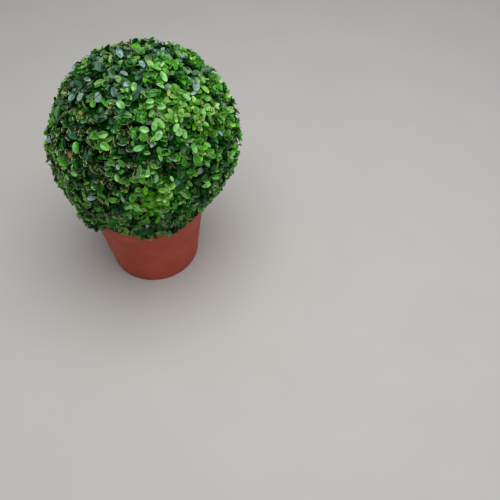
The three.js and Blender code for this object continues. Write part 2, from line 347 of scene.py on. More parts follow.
compost_top = POT_HEIGHT - COMPOST_BELOW_RIM
edge_height = compost_top - COMPOST_DOME
edge_radius = mouth_radius(edge_height) - TOUCH
rings = [(edge_radius * (1 - t), edge_height + COMPOST_DOME * t ** DOME_ROUNDNESS * DOME_FILL)
         for t in np.linspace(0, 1, COMPOST_RINGS)]
section = [(0, POT_WALL + TOUCH), (mouth_radius(POT_WALL) - TOUCH, POT_WALL + TOUCH), *rings]
compost = spun("compost_fill", section, COMPOST_SIDES)
top = compost.vertex_groups.new(name="top")
inner = [v.index for v in compost.data.vertices
         if v.co.z > edge_height + 0.1 * MM and v.co.xy.length < edge_radius - LEVEL_EDGE]
top.add(inner, 1.0, "REPLACE")
dented(compost, "clods", CLOD_SIZE, CLOD_DEPTH, vertex_group="top", direction="Z")
print("compost top at", round(compost_top / MM), "mm,", len(inner), "points moved")

# %% [markdown]
# Potting compost is composted bark fibre and peat, kept moist. It is almost black where it is wet,
# brown where a fibre has dried, and so rough that it has no shine at all. The fibres are 2 to 4 mm
# long, so the two browns are mottled at 3 mm, and the crumb's relief is finer than that.

# %% Moist bark and peat
FIBRE_LENGTH = 3 * MM
CRUMB_SIZE = 1.5 * MM
CRUMB_HEIGHT = 1 * MM

peat, tree, shader = new_finish("bark_and_peat", IOR=1.4, Roughness=0.9)
mottle(tree, shader, "#1E1510", "#4B3727", FIBRE_LENGTH, ends=(0.35, 0.7), detail=5, roughness=0.7)
roughen(tree, shader, CRUMB_SIZE, CRUMB_HEIGHT, 0.8, detail=4, roughness=0.7)
enter(compost, "compost", peat)

# %% [markdown]
# ## The stem
# A box ball stands on one short stem that the leaves hide. It could be left out, but the boughs need
# something to grow from. A circle is extruded upwards ring by ring, and each ring is shrunk and moved
# along the lean. The foot flares out in three root buttresses, and a Displace modifier with a noise
# texture presses the fissures of the bark into it.

# %% Grow the stem
STEM_HEIGHT = 56 * MM
STEM_RADIUS = 9 * MM
STEM_TIP_RADIUS = 6.5 * MM
ROOT_FLARE = 8 * MM
ROOTS = 3
FLARE_FADE = 9  # how fast the flare dies away up the stem
BUTTRESS = 0.25  # share of the flare that makes the buttresses
STEM_LEAN = 7 * MM
FISSURE_SIZE = 4 * MM
FISSURE_DEPTH = 1.6 * MM
CROWN_OFFSET = np.array([12, 2]) * MM

stem_foot = compost_top + TOUCH
lean_towards = np.append(CROWN_OFFSET / np.linalg.norm(CROWN_OFFSET), 0)


def stem_middle(along):
    """The stem's middle line: upright at the foot, then leaning towards the crown's middle."""
    return np.array([0, 0, stem_foot + STEM_HEIGHT * along]) + lean_towards * STEM_LEAN * along ** 2


def stem_radius(along, turn):
    """The stem's radius at a share of its height, on the side at an angle."""
    taper = STEM_RADIUS + (STEM_TIP_RADIUS - STEM_RADIUS) * along
    flare = ROOT_FLARE * math.exp(-FLARE_FADE * along)
    return taper + flare * (1 - BUTTRESS + BUTTRESS * math.cos(ROOTS * turn))


STEM_RINGS = 40
STEM_SIDES = 48
bpy.ops.object.select_all(action="DESELECT")
bpy.ops.mesh.primitive_circle_add(vertices=STEM_SIDES, radius=STEM_RADIUS, fill_type="NGON",
                                  location=(0, 0, stem_foot))
stem = bpy.context.object
stem.name = stem.data.name = "stem_bark"
bpy.ops.object.transform_apply(location=True, rotation=True, scale=True)
bpy.ops.object.mode_set(mode="EDIT")
rise = (0, 0, STEM_HEIGHT / STEM_RINGS)
for _ in range(STEM_RINGS):
    bpy.ops.mesh.extrude_region_move(TRANSFORM_OT_translate={"value": rise})
bpy.ops.mesh.select_all(action="SELECT")
bpy.ops.mesh.normals_make_consistent(inside=False)
bpy.ops.object.mode_set(mode="OBJECT")
for v in stem.data.vertices:
    along = (v.co.z - stem_foot) / STEM_HEIGHT
    turn = math.atan2(v.co.y, v.co.x)
    middle, radius = stem_middle(along), stem_radius(along, turn)
    v.co = (middle[0] + radius * math.cos(turn), middle[1] + radius * math.sin(turn), middle[2])
dented(stem, "fissures", FISSURE_SIZE, FISSURE_DEPTH)
bpy.ops.object.select_all(action="DESELECT")
stem.select_set(True)
bpy.ops.object.shade_smooth()
print("stem from", round(stem_foot / MM), "to", round((stem_foot + STEM_HEIGHT) / MM), "mm")

# %% [markdown]
# The bark of box is a pale grey-brown and matt, and it breaks into small corky plates of about 5 mm
# with darker cracks between them. The mesh has the larger fissures, and the relief adds the fine ones.

# %% Box bark, pale and finely fissured
PLATE_SIZE = 5 * MM
CRACK_SIZE = 1.4 * MM
CRACK_DEPTH = 0.5 * MM

bark, tree, shader = new_finish("box_bark", IOR=1.45, Roughness=0.85)
mottle(tree, shader, "#5E4E3A", "#A3906F", PLATE_SIZE, ends=(0.35, 0.68), detail=4, roughness=0.6)
roughen(tree, shader, CRACK_SIZE, CRACK_DEPTH, 0.5, detail=4, roughness=0.7)
enter(stem, "stem", bark)

# %% [markdown]
# ## The clipped surface
# Shears leave a ball that is round above, drawn in a little straighter towards the pot below, and
# never quite even. One function gives the distance from the crown's middle to that surface in any
# direction. Every twig and leaf below is measured against it, which keeps the outline true.

# %% The surface that the shears left
CROWN_RADIUS = 152 * MM
CROWN_TOP = 158.5 * MM
CROWN_DEPTH = 176 * MM
CROWN_ABOVE_RIM = 107 * MM
UPPER_ROUNDNESS = 2.0
LOWER_ROUNDNESS = 1.85
PRESSES = [  # direction, narrowness, share of the reach that is gone or left over
    ((0.62, -0.50, -0.60), 8, -0.085),
    ((0.90, -0.20, -0.38), 12, -0.02),
    ((-0.90, 0.00, 0.43), 6, -0.025),
    ((-0.92, -0.37, 0.08), 30, 0.025),
    ((0.93, 0.00, 0.36), 14, 0.015),
    ((0.50, 0.48, 0.72), 6, 0.015),
    ((-0.15, 0.45, 0.87), 12, -0.03),
    ((-0.85, -0.51, -0.14), 10, -0.02),
    ((-0.30, -0.80, -0.50), 16, -0.02),
    ((-0.60, -0.52, -0.60), 60, 0.09),
    ((-0.76, 0.05, 0.65), 14, -0.025),
    ((0.30, 0.30, 0.90), 24, 0.02),
]
UNEVENNESS = 0.008
CROWN_CENTRE = np.array([*CROWN_OFFSET, POT_HEIGHT + CROWN_ABOVE_RIM])
UP = np.array([0.0, 0.0, 1.0])
GOLDEN_ANGLE = math.pi * (3 - math.sqrt(5))


def unit(vectors):
    """Vectors made one long."""
    return vectors / np.maximum(np.linalg.norm(vectors, axis=-1, keepdims=True), 1e-9)


def all_round(count):
    """Directions spread evenly over a ball, as seeds are on a sunflower."""
    k = np.arange(count)
    height = 1 - 2 * (k + 0.5) / count
    across = np.sqrt(1 - height ** 2)
    return np.stack([across * np.cos(k * GOLDEN_ANGLE), across * np.sin(k * GOLDEN_ANGLE), height], 1)


def patch_strength(towards, patches):
    """The summed strength of soft round patches in each direction."""
    total = np.zeros(len(towards))
    for middle, narrowness, strength in patches:
        total += strength * np.exp(narrowness * (towards @ unit(np.array(middle)) - 1))
    return total


def crown_reach(towards):
    """How far the clipped surface lies from the crown's middle, for unit directions."""
    above = towards[:, 2] > 0
    roundness = np.where(above, UPPER_ROUNDNESS, LOWER_ROUNDNESS)
    across = np.hypot(towards[:, 0], towards[:, 1]) / CROWN_RADIUS
    upright = np.abs(towards[:, 2]) / np.where(above, CROWN_TOP, CROWN_DEPTH)
    smooth = (across ** roundness + upright ** roundness) ** (-1 / roundness)
    x, y, z = towards.T
    waves = np.sin(5 * x + 1.3) * np.sin(4 * y + 0.4) * np.sin(4 * z + 2.1)
    return smooth * (1 + patch_strength(towards, PRESSES) + UNEVENNESS * waves)


def outside_by(points):
    """How far points lie outside the clipped surface. Negative is inside."""
    from_centre = points - CROWN_CENTRE
    return np.linalg.norm(from_centre, axis=1) - crown_reach(unit(from_centre))


POT_CLEAR = 0.8 * MM
COMPOST_CLEAR = 1.5 * MM
RIM_HANG = 30 * MM


def clear_of_pot(points):
    """True for points that are clear of the pot's wall and above the compost."""
    from_axis = np.hypot(points[:, 0], points[:, 1])
    wall = np.minimum(wall_radius(points[:, 2]) + RIM_PROUD, POT_RIM_RADIUS)
    lowest = np.full(len(points), POT_HEIGHT + POT_CLEAR)
    lowest[from_axis < mouth_radius(POT_HEIGHT) - POT_CLEAR] = compost_top + COMPOST_CLEAR
    lowest[from_axis > wall + POT_CLEAR] = POT_HEIGHT - RIM_HANG
    return points[:, 2] > lowest


print("crown", round(2 * CROWN_RADIUS / MM), "mm across, middle at", CROWN_CENTRE / MM)

# %% [markdown]
# ## Boughs, branches and shoots
# Inside the ball the stem forks into boughs, each bough carries branches, and each branch carries the
# short shoots that bear the leaves. They are many small tapering tubes, so they are not modelled one
# by one: a function turns whole arrays of middle lines into one joined mesh.

# %% Tubes from arrays
BOW = 0.5  # how far along the way to its end a limb keeps its first direction
STRAYING = 0.04  # share of its length that a limb wanders off its curve
NEARLY_UPRIGHT = 0.9  # height of a unit direction above which it counts as upright
LIMBS = {  # radius in mm at the start and at the end, sides
    "boughs": (4.6, 2.4, 12), "branches": (2.3, 1.3, 8), "twigs": (1.0, 0.75, 4),
    "shoots": (0.75, 0.5, 4), "leaf_stalks": (0.5, 0.4, 4), "young_stray_twigs": (0.5, 0.25, 6),
    "dead_stray_twigs": (0.5, 0.25, 6), "clipped_shoot_stubs": (0.9, 0.7, 6),
}


def joined_mesh(name, points, faces):
    """One mesh object from an array of points and an array of faces with as many corners each."""
    faces = np.asarray(faces, np.int32)
    mesh = bpy.data.meshes.new(name)
    mesh.vertices.add(len(points))
    mesh.vertices.foreach_set("co", np.asarray(points, np.float32).ravel())
    mesh.loops.add(faces.size)
    mesh.loops.foreach_set("vertex_index", faces.ravel())
    mesh.polygons.add(len(faces))
    mesh.polygons.foreach_set("loop_start", np.arange(0, faces.size, faces.shape[1], dtype=np.int32))
    mesh.polygons.foreach_set("use_smooth", np.ones(len(faces), bool))
    mesh.update(calc_edges=True)
    mesh.validate()
    piece = bpy.data.objects.new(name, mesh)
    bpy.context.scene.collection.objects.link(piece)
    return piece


def sides_of(along):
    """Two directions at right angles to each direction given and to each other."""
    reference = np.where(np.abs(along[..., 2:]) > NEARLY_UPRIGHT, [1.0, 0, 0], UP)
    first = unit(np.cross(reference, along))
    return first, np.cross(along, first)


def tubes(lines, radii, sides):
    """Points and four-cornered faces of closed tapering tubes. lines is (tubes, rings, 3)."""
    count, rings, _ = lines.shape
    along = unit(np.gradient(lines, axis=1))
    first, second = sides_of(np.repeat(along.mean(1, keepdims=True), rings, 1))
    turn = 2 * np.pi * np.arange(sides) / sides
    ring = first[:, :, None] * np.cos(turn)[:, None] + second[:, :, None] * np.sin(turn)[:, None]
    points = lines[:, :, None] + ring * radii[:, :, None, None]
    corner = np.arange(count * rings * sides).reshape(count, rings, sides)
    here, after = corner, np.roll(corner, -1, axis=2)
    walls = np.stack([here[:, :-1], after[:, :-1], after[:, 1:], here[:, 1:]], -1).reshape(-1, 4)
    fan = np.array([[0, k, k + 1, k + 2] for k in range(1, sides - 2, 2)])
    ends = np.concatenate([corner[:, 0][:, fan[:, ::-1]], corner[:, -1][:, fan]]).reshape(-1, 4)
    return points.reshape(-1, 3), np.concatenate([walls, ends])


def bowed(start, end, bow, shift=0, rings=4):
    """Middle lines from start to end that leave along bow and wander a little."""
    t = np.linspace(0, 1, rings)[None, :, None]
    length = np.linalg.norm(end - start, axis=1)[:, None, None]
    control = start[:, None] + bow[:, None] * length * BOW
    lines = curved(start[:, None], control, end[:, None], t)
    return lines + shift * np.sin(np.pi * t) * length * STRAYING


def nearest_points(places, lines):
    """The point of all the lines that lies nearest to each place."""
    points = lines.reshape(-1, 3)
    return points[np.linalg.norm(places[:, None] - points[None], axis=2).argmin(1)]


def enter_limbs(name, lines, material, stoutness=1.0):
    """Enters limbs that taper evenly as one piece of the crown."""
    start, end, sides = LIMBS[name]
    radii = np.tile(np.linspace(start * MM, end * MM, lines.shape[1]), (len(lines), 1)) * stoutness
    enter(joined_mesh(name, *tubes(lines, radii, sides)), "crown", material)


# %% [markdown]
# The directions follow the rule that shaped the solid crown: they are spread by the golden angle, a
# few boughs first and then more and more branches and shoots. Each limb starts at the nearest limb of
# the kind before it, so every leaf is joined to the stem.

# %% Grow boughs and branches
BOUGHS = 14
BRANCHES = 96
BOUGH_SHARE = 0.42  # of the reach
BRANCH_SHARE = 0.72
BOUGH_SPREAD = 0.4  # how far outwards a bough leaves the stem, where upwards is 1
BOUGH_KNOTS = (0.88, 1.12)
BRANCHES_ABOVE_RIM = 8 * MM
BOUGH_RINGS = 24
BRANCH_RINGS = 8
IN_STEM = 3 * MM  # how deep in the stem's tip the boughs start
SEED = 20
draw = np.random.default_rng(SEED)

bough_towards = all_round(BOUGHS)
bough_ends = CROWN_CENTRE + bough_towards * crown_reach(bough_towards)[:, None] * BOUGH_SHARE
bough_starts = np.tile(stem_middle(1.0) - UP * IN_STEM, (BOUGHS, 1))
wander = draw.normal(0, 1, (BOUGHS, 1, 3))
upwards = unit(bough_towards * BOUGH_SPREAD + UP)
bough_lines = bowed(bough_starts, bough_ends, upwards, wander, BOUGH_RINGS)
knots = draw.uniform(*BOUGH_KNOTS, (BOUGHS, BOUGH_RINGS))
enter_limbs("boughs", bough_lines, bark, knots)

branch_towards = all_round(BRANCHES)
branch_ends = CROWN_CENTRE + branch_towards * crown_reach(branch_towards)[:, None] * BRANCH_SHARE
above_rim = branch_ends[:, 2] > POT_HEIGHT + BRANCHES_ABOVE_RIM
branch_towards, branch_ends = branch_towards[above_rim], branch_ends[above_rim]
forks = nearest_points(branch_ends, bough_lines[:, BOUGH_RINGS // 2:])
wander = draw.normal(0, 1, (len(forks), 1, 3))
branch_lines = bowed(forks, branch_ends, branch_towards, wander, BRANCH_RINGS)
enter_limbs("branches", branch_lines, bark)

# %% [markdown]
# ## The shoots
# Each shoot is a short twig that grows outwards and a little up towards the light. Neighbours stand in
# clumps that the shears left deeper or shallower, with dark gaps between them. Low down, where the ball
# meets the pot, the shoots hang over the rim.

# %% Place the shoots
SHOOTS = 1640
SHOOT_LENGTH = 36 * MM
SHOOT_LENGTHS = (0.85, 1.05)  # shares of that
SHOOT_STRAYING = 0.028  # radians off its even place
SHOOT_SPRAY = 0.17  # radians off its even direction
CLUMPS = 340
CLUMP_STRAYING = 0.035
CLUMP_DEPTHS = (1.2, 2.3 * MM)  # shape and scale of a gamma distribution
OVERTOPPED = 0.34  # share of the shoots whose neighbours stand above them
OVERTOPPED_BY = (6, 13)  # mm
OTHERS_BELOW = (0, 4.5)  # mm that the other shoots stand below the shears
DEEPEST_CLUMP = 11 * MM
HANG_FROM = 14 * MM  # height above the rim below which the outer shoots hang over it
HANGING_OUT = 0.12
HANGING_SPRAY = 0.14
UPWARDS = 0.2  # how much a shoot turns to the light
TESTED_ALONG = 7  # points of a shoot that have to be clear of the pot

shoot_towards = unit(all_round(SHOOTS) + draw.normal(0, SHOOT_STRAYING, (SHOOTS, 3)))
clump_towards = unit(all_round(CLUMPS) + draw.normal(0, CLUMP_STRAYING, (CLUMPS, 3)))
clump = (shoot_towards @ clump_towards.T).argmax(1)
clump_depth = draw.gamma(*CLUMP_DEPTHS, CLUMPS).clip(0, DEEPEST_CLUMP)
overtopped = draw.random(SHOOTS) < OVERTOPPED
deep = draw.uniform(*OVERTOPPED_BY, SHOOTS) * MM
shallow = draw.uniform(*OTHERS_BELOW, SHOOTS) * MM
depth = clump_depth[clump] + np.where(overtopped, deep, shallow)
shoot_tips = CROWN_CENTRE + shoot_towards * (crown_reach(shoot_towards) - depth)[:, None]
shoot_axis = unit(shoot_towards + UPWARDS * UP + draw.normal(0, SHOOT_SPRAY, (SHOOTS, 3)))
from_pot = np.hypot(shoot_tips[:, 0], shoot_tips[:, 1])
hanging = (from_pot > POT_RIM_RADIUS) & (shoot_tips[:, 2] < POT_HEIGHT + HANG_FROM)
outward = shoot_tips * [1, 1, 0] / from_pot[:, None]
downwards = unit(draw.normal(0, HANGING_SPRAY, (SHOOTS, 3)) - UP + HANGING_OUT * outward)
shoot_axis[hanging] = downwards[hanging]
shoot_lengths = SHOOT_LENGTH * draw.uniform(*SHOOT_LENGTHS, (SHOOTS, 1))
shoot_bases = shoot_tips - shoot_axis * shoot_lengths
t = np.linspace(0, 1, TESTED_ALONG)[:, None]
along = shoot_bases[:, None] + (shoot_tips - shoot_bases)[:, None] * t
kept = clear_of_pot(along.reshape(-1, 3)).reshape(SHOOTS, -1).all(1)
shoot_towards, clump, shoot_tips = shoot_towards[kept], clump[kept], shoot_tips[kept]
shoot_axis, shoot_bases, depth = shoot_axis[kept], shoot_bases[kept], depth[kept]
shoots = len(shoot_tips)
print(shoots, "shoots,", int((hanging & kept).sum()), "of them hanging over the rim")

# %% [markdown]
# The shoots are joined up next. A thin woody twig leaves the outer half of the nearest branch and runs
# to the foot of each shoot. The shoot itself grew this season, so it gets a finish of its own.

# %% Join them to the branches
RIPENED_STRETCH = 12 * MM

forks = nearest_points(shoot_bases, branch_lines[:, BRANCH_RINGS // 2:])
twig_lines = bowed(forks, shoot_bases, shoot_axis, draw.normal(0, 1, (shoots, 1, 3)))
enter_limbs("twigs", twig_lines, bark)

# A young stem is smooth and green, and turns straw-coloured in stretches as it ripens to wood.
green_stem, tree, shader = new_finish("young_box_stem", IOR=1.45, Roughness=0.6)
mottle(tree, shader, "#5E7A33", "#8C7E4A", RIPENED_STRETCH)
shoot_lines = bowed(shoot_bases, shoot_tips, shoot_axis, draw.normal(0, 1, (shoots, 1, 3)))
enter_limbs("shoots", shoot_lines, green_stem)

# %% [markdown]
# ## Places in the picture
# Patches of fresh or old leaves, single leaves and stray twigs are listed by where they show in the
# picture, in pixels from its top left. The line of sight through such a place is followed from the camera
# until it meets the clipped surface. The meeting point is closed in on by halving the stretch that it
# lies in. All that is placed so then sits on the ball from any side.

# %% From a place in the picture to the ball
PICTURE_SIDE = 500
HALVINGS = 24
LOOK = np.array([0, math.cos(CAMERA_DOWN), -math.sin(CAMERA_DOWN)])
PICTURE_RIGHT = np.array([1.0, 0, 0])
PICTURE_DOWN = np.array([0, -math.sin(CAMERA_DOWN), -math.cos(CAMERA_DOWN)])


def seen_towards(places):
    """Directions from the crown's middle to what shows at places in the picture."""
    focal = PICTURE_SIDE * CAMERA_LENS / SENSOR_WIDTH
    across, down = (np.array(places, float).T - PICTURE_SIDE / 2)[..., None] / focal
    sight = unit(LOOK + across * PICTURE_RIGHT + down * PICTURE_DOWN)
    inner = sight @ (CROWN_CENTRE - CAMERA_PLACE)
    outer = inner - 2 * CROWN_RADIUS
    for _ in range(HALVINGS):
        halfway = (inner + outer) / 2
        inside = outside_by(CAMERA_PLACE + sight * halfway[:, None]) < 0
        inner, outer = np.where(inside, halfway, inner), np.where(inside, outer, halfway)
    return unit(CAMERA_PLACE + sight * inner[:, None] - CROWN_CENTRE)


def picture_patches(rows):
    """Patches whose middles are given as places in the picture."""
    middles = seen_towards([row[:2] for row in rows])
    return [(middle, *row[2:]) for middle, row in zip(middles, rows)]


print("the picture's middle shows", seen_towards([(PICTURE_SIDE / 2, PICTURE_SIDE / 2)]).round(2))

# %% [markdown]
# ## Where the leaves are fresh or old
# New growth is a light yellow-green and old leaves a dark green, which a painted reflection of the sky
# turns bluish in places. On this ball the new growth shows in a broad patch on the right of the front and
# in small tufts elsewhere, while the left of the front and the top are old and weathered. The right edge
# and the bottom by the pot get the same darker greens as painted shade. Each patch has a middle, which is
# a place in the picture or, on the far side, a direction, and it fades outwards. A shoot's freshness is
# worked out from the patches near it and from its depth, and it then decides which leaf finish the shoot
# gets.

# %% Freshness of each shoot
FRESH_PATCHES = picture_patches([  # picture place of the middle, narrowness, strength
    (163, 108, 12, 0.48), (166, 105, 60, 0.38), (200, 146, 12, 0.14), (131, 209, 30, 0.16),
]) + [  # direction of the middle, narrowness, strength
    ((-0.30, 0.80, 0.45), 6, 0.35),
    ((0.60, 0.70, 0.20), 9, 0.30),
]
LIME_TUFTS = picture_patches([  # tufts of a few shoots that are yellower than the rest
    (157, 204, 220, 0.75), (150, 216, 350, 0.75), (100, 190, 700, 0.60), (90, 104, 600, 0.50),
])
FRESH_TUFTS = picture_patches([
    (130, 207, 420, 0.60), (96, 135, 900, 0.75), (76, 147, 1400, 0.75), (102, 145, 900, 0.70),
    (64, 164, 700, 0.60), (121, 163, 900, 0.60), (118, 179, 900, 0.60), (84, 118, 700, 0.45),
    (163, 76, 1200, 0.75), (49, 148, 500, 0.45), (87, 200, 500, 0.45), (111, 57, 700, 0.40),
    (206, 74, 500, 0.40),
])
# Old, weathered leaves; the patches at the right edge, at the lower right and at the bottom by the pot
# are painted shade.
OLD_AND_SHADED_PATCHES = picture_patches([
    (86, 135, 10, 0.40), (99, 166, 12, 0.58), (96, 76, 8, 0.36), (142, 52, 6, 0.12),
    (205, 150, 20, 0.38), (137, 140, 30, 0.18), (216, 193, 12, 0.30),
    (145, 231, 10, 0.34), (49, 134, 14, 0.25),
]) + [
    ((-0.70, 0.50, 0.30), 6, 0.25),
    ((-0.30, 0.40, 0.87), 14, 0.16),
]
DRY_PATCHES = picture_patches([  # where most leaves were cut and have dried at their edges
    (82, 138, 7, 0.50), (101, 173, 9, 0.25), (55, 174, 8, 0.35), (141, 55, 6, 0.15),
]) + [
    ((-0.50, 0.75, 0.40), 6, 0.35),
]
SKY_SHEEN_PATCHES = picture_patches([  # where old leaves get a bluish colour as a painted reflection of the sky
    (136, 52, 5, 0.46), (186, 65, 20, 0.32), (166, 86, 60, 0.60), (91, 214, 14, 0.25),
])

PLAIN = 0.45  # freshness where no patch reaches
DRIFT = 0.07
CLUMP_SPREAD = 0.11
SHOOT_SPREAD = 0.15
DARKER_BELOW_SHEARS = 20  # freshness lost per metre below the shears, which gives deeper shoots darker greens, partly older leaves and partly painted shade
FRESHEST = 1.0
MOST_DARKENED = 0.62
MOST_DRY = 0.8
LEAST_SKY_SHEEN = 0.05
MOST_SKY_SHEEN = 0.7
LIME_FROM = 0.4  # strength of a lime tuft that makes a shoot lime
REGROWN = 0.6  # share of the old shoots that grew on after the clipping
REGROWN_WHERE_FRESH = 0.5
YOUNGEST_TIP = 0.45  # most freshness that a young tip adds

x, y, z = shoot_towards.T
drift = np.sin(6 * x + 1) * np.sin(7 * y + 2) + np.sin(6 * z + 3) * np.sin(8 * x + 4)
weathering_and_shade = patch_strength(shoot_towards, OLD_AND_SHADED_PATCHES).clip(0, MOST_DARKENED)
dryness = patch_strength(shoot_towards, DRY_PATCHES).clip(0, MOST_DRY)
tufts = patch_strength(shoot_towards, FRESH_TUFTS + LIME_TUFTS)
sky_sheen_share = (LEAST_SKY_SHEEN + patch_strength(shoot_towards, SKY_SHEEN_PATCHES)).clip(0, MOST_SKY_SHEEN)
freshness = PLAIN + patch_strength(shoot_towards, FRESH_PATCHES) - weathering_and_shade + DRIFT * drift + tufts
spread = draw.normal(0, CLUMP_SPREAD, CLUMPS)[clump] + draw.normal(0, SHOOT_SPREAD, shoots)
# Deeper shoots get darker greens, partly as painted shade.
freshness += spread - DARKER_BELOW_SHEARS * depth
freshness = freshness.clip(None, FRESHEST)
lime_tuft = patch_strength(shoot_towards, LIME_TUFTS) > LIME_FROM
regrown = draw.random(shoots) < REGROWN + REGROWN_WHERE_FRESH * freshness - dryness
young_tip = draw.random(shoots) ** 2 * YOUNGEST_TIP
print("freshness from", round(freshness.min(), 2), "to", round(freshness.max(), 2))

# %% [markdown]
# ## The leaves
# Box leaves stand in opposite pairs, each pair crossing the one below. They are about 14 mm long,
# widest just past the middle, rounded at the tip, cupped about the midrib and bent back. The youngest
# pairs, at the tip, are small and upright. A leaf is a few rows of narrow quads, and all the leaves
# are worked out together as arrays. One that the shears passed through ends in a straight cut.

# %% Lay out the leaves
LEAF_LENGTH = 13.6 * MM
LEAF_WIDTH = 0.67  # of the length
PAIRS = np.array([  # distance from the tip in mm, share of full length, angle from the shoot, youth, which below zero is partly the darker green of older leaves and partly painted shade
    (0.3, 0.50, 30, 0.18),
    (2.0, 0.80, 52, 0.14),
    (4.6, 1.00, 64, 0.04),
    (8.6, 1.04, 71, -0.20),
    (14.0, 1.04, 76, -0.52),
    (22.0, 0.98, 80, -0.76),
    (30.0, 0.92, 84, -0.90),
])
TIP_YOUTH = 0.1  # youth above which a pair belongs to the shoot's young tip
SPACING = (0.85, 1.15)
TURN_SPREAD = 0.2
OPENING_SPREAD = 0.22
FACE_SPREAD = 0.27
TO_LIGHT = 0.06  # how much every leaf turns its face up
TO_LIGHT_BELOW = 0.35  # and how much more it does so under the ball
LENGTH_SPREAD = 0.17
LENGTHS_WITHIN = (0.55, 1.35)
VIGOUR = (0.82, 1.08)
LARGER_WHERE_SHEENED = 0.2
LARGER_WHERE_DARKENED = 0.3
FRESHNESS_SPREAD = 0.07

pairs = len(PAIRS)
every_leaf = (shoots, pairs, 2)
back, share_of_full, opening, youth_and_inner_shade = (column[None, :, None] for column in PAIRS.T)
first_side, second_side = sides_of(shoot_axis)
turn = draw.uniform(0, np.pi, (shoots, 1, 1)) + np.arange(pairs)[:, None] * np.pi / 2
turn = turn + np.array([0, np.pi]) + draw.normal(0, TURN_SPREAD, every_leaf)
slant = np.radians(opening) + draw.normal(0, OPENING_SPREAD, every_leaf)
outward = (first_side[:, None, None] * np.cos(turn)[..., None]
           + second_side[:, None, None] * np.sin(turn)[..., None])
axis = np.broadcast_to(shoot_axis[:, None, None], outward.shape)
ahead = axis * np.cos(slant)[..., None] + outward * np.sin(slant)[..., None]
face = axis * np.sin(slant)[..., None] - outward * np.cos(slant)[..., None]
to_light = TO_LIGHT + TO_LIGHT_BELOW * (-shoot_towards[:, 2]).clip(0, 1)
face = unit(face + to_light[:, None, None, None] * UP + draw.normal(0, FACE_SPREAD, face.shape))
ahead = unit(ahead - face * (ahead * face).sum(-1, keepdims=True))
behind_tip = back * MM * draw.uniform(*SPACING, every_leaf)
roots = shoot_tips[:, None, None] - axis * behind_tip[..., None]
vigour = draw.uniform(*VIGOUR, shoots) + LARGER_WHERE_SHEENED * sky_sheen_share + LARGER_WHERE_DARKENED * weathering_and_shade
variety = draw.normal(1, LENGTH_SPREAD, every_leaf).clip(*LENGTHS_WITHIN)
length = LEAF_LENGTH * vigour[:, None, None] * share_of_full * variety
# Inner pairs get darker greens, partly as older leaves and partly as painted shade deep in the ball.
fresh = freshness[:, None, None] + youth_and_inner_shade + young_tip[:, None, None] * (youth_and_inner_shade > TIP_YOUTH)
fresh = fresh + draw.normal(0, FRESHNESS_SPREAD, every_leaf)


def per_leaf(values):
    """Values of each shoot, repeated for its leaves."""
    return np.broadcast_to(values[:, None, None], fresh.shape).ravel()


leaf = {
    "root": roots.reshape(-1, 3), "ahead": ahead.reshape(-1, 3), "face": face.reshape(-1, 3),
    "length": length.ravel(), "fresh": fresh.ravel(), "dryness": per_leaf(dryness),
    "cut": per_leaf(~regrown), "wax_and_sheen": per_leaf(sky_sheen_share), "lime": per_leaf(lime_tuft),
}
print(len(leaf["root"]), "leaves laid out")

# %% [markdown]
# The shears decide next. A leaf that starts outside the surface is gone, and one that crosses it is
# shortened to the crossing if its shoot was cut. Leaves that would touch the pot are left out.

# %% Clip the leaves
LEAST_CUT = 0.35
WHOLE_FROM = 0.92
MOST_PROUD = 4.5 * MM


def kept_leaves(leaf, mask):
    """The leaves for which mask is true."""
    return {name: values[mask] for name, values in leaf.items()}


start_out = outside_by(leaf["root"])
end_out = outside_by(leaf["root"] + leaf["ahead"] * leaf["length"][:, None])
crossing = np.where(end_out > start_out, -start_out / np.maximum(end_out - start_out, 1e-6), 1.0)
cut_at = np.where(leaf["cut"] & (end_out > 0), crossing, 1.0)
cut_at = np.where(cut_at > WHOLE_FROM, 1.0, cut_at)
leaf["share"] = cut_at
whole_enough = (cut_at > LEAST_CUT) & (start_out < 0) & ((end_out < MOST_PROUD) | leaf["cut"])
leaf = kept_leaves(leaf, whole_enough)
print(len(leaf["root"]), "leaves kept,", int((leaf["share"] < 1).sum()), "of them cut")
